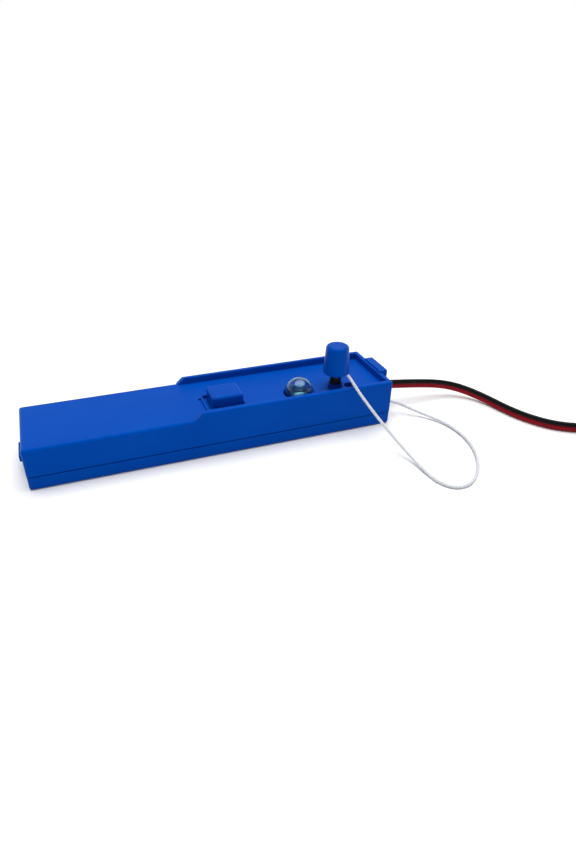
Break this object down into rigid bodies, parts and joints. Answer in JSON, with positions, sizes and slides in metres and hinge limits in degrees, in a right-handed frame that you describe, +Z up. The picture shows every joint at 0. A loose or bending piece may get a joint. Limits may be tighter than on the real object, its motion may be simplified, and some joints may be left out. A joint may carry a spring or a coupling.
{
  "type": "hand-held battery controller",
  "caption": "Hand-held battery controller with a push button, an indicator lamp, a pull-out safety key on a tether and a twin lead.",
  "frame": {"origin": "centre of the case's base, on the surface the case stands on", "axes": "+X along the case from the battery grip to the lead, +Y away from the side the controls are nearer to, +Z up"},
  "size_m": [0.3376, 0.174, 0.0431],
  "materials": {
    "case_blue": "semi-gloss moulded plastic",
    "cover_blue": "semi-gloss moulded plastic",
    "button_blue": "semi-gloss moulded plastic",
    "key_blue": "semi-gloss moulded plastic",
    "screw_steel": "zinc plated",
    "board_brown": "laminate",
    "contact_brass": "bright strip",
    "spring_steel": "drawn wire",
    "seat_white": "moulded",
    "clear_glass": "clear",
    "bead_glass": "pressed",
    "lamp_nickel": "nickel plated",
    "dark_glaze": "glazed",
    "solder": "dull",
    "lamp_wire": "drawn wire",
    "sleeve_black": "smooth",
    "pin_nickel": "nickel plated",
    "battery_jacket": "printed sleeve",
    "terminal_nickel": "nickel plated",
    "snap_black": "vinyl",
    "lead_black": "smooth flexible insulation",
    "lead_red": "smooth flexible insulation",
    "tie_black": "strip",
    "plug_black": "moulded",
    "tether_white": "braided string"
  },
  "bodies": {
    "root": {"upper_case": "case_blue", "lower_cover": "cover_blue", "cover_screws": "screw_steel", "board_screws": "screw_steel", "contact_board": "board_brown", "fixed_contacts": "contact_brass", "button_spring": "spring_steel", "spring_seat": "seat_white", "lamp_globe": "clear_glass", "lamp_cap": "lamp_nickel", "lamp_insulator": "dark_glaze", "lamp_tip": "solder", "lamp_centre_contact": "contact_brass", "lamp_shell": "contact_brass", "lamp_socket": "case_blue", "lamp_posts": "lamp_wire", "lamp_bead": "bead_glass", "lamp_filament": "lamp_wire", "key_springs": "contact_brass", "battery": "battery_jacket", "battery_terminals": "terminal_nickel", "battery_snap": "snap_black", "lead_core_black": "lead_black", "lead_core_red": "lead_red", "battery_wire_black": "lead_black", "battery_wire_red": "lead_red", "cable_grommet": "snap_black", "lead_coil": "lead_black", "coil_tie": "tie_black", "plug_body": "plug_black", "plug_pins": "pin_nickel", "twin_lead": "lead_black", "lead_tail": "lead_black", "tether_string": "tether_white", "tether_stop": "tether_white"},
    "button": {"push_button": "button_blue", "contact_bridge": "contact_brass"},
    "key": {"key_cap": "key_blue", "key_sleeve": "sleeve_black", "key_pin": "pin_nickel"}
  },
  "joints": [
    {"name": "push_button_slide", "type": "slide", "parent": "root", "child": "button", "axis": [0, 0, -1], "range_m": [0, 0.002], "stiffness_N_per_m": 600, "springref_m": -0.001, "deforming": ["button_spring"]},
    {"name": "safety_key_slide", "type": "slide", "parent": "root", "child": "key", "axis": [0, 0, 1], "range_m": [0, 0.016]}
  ]
}
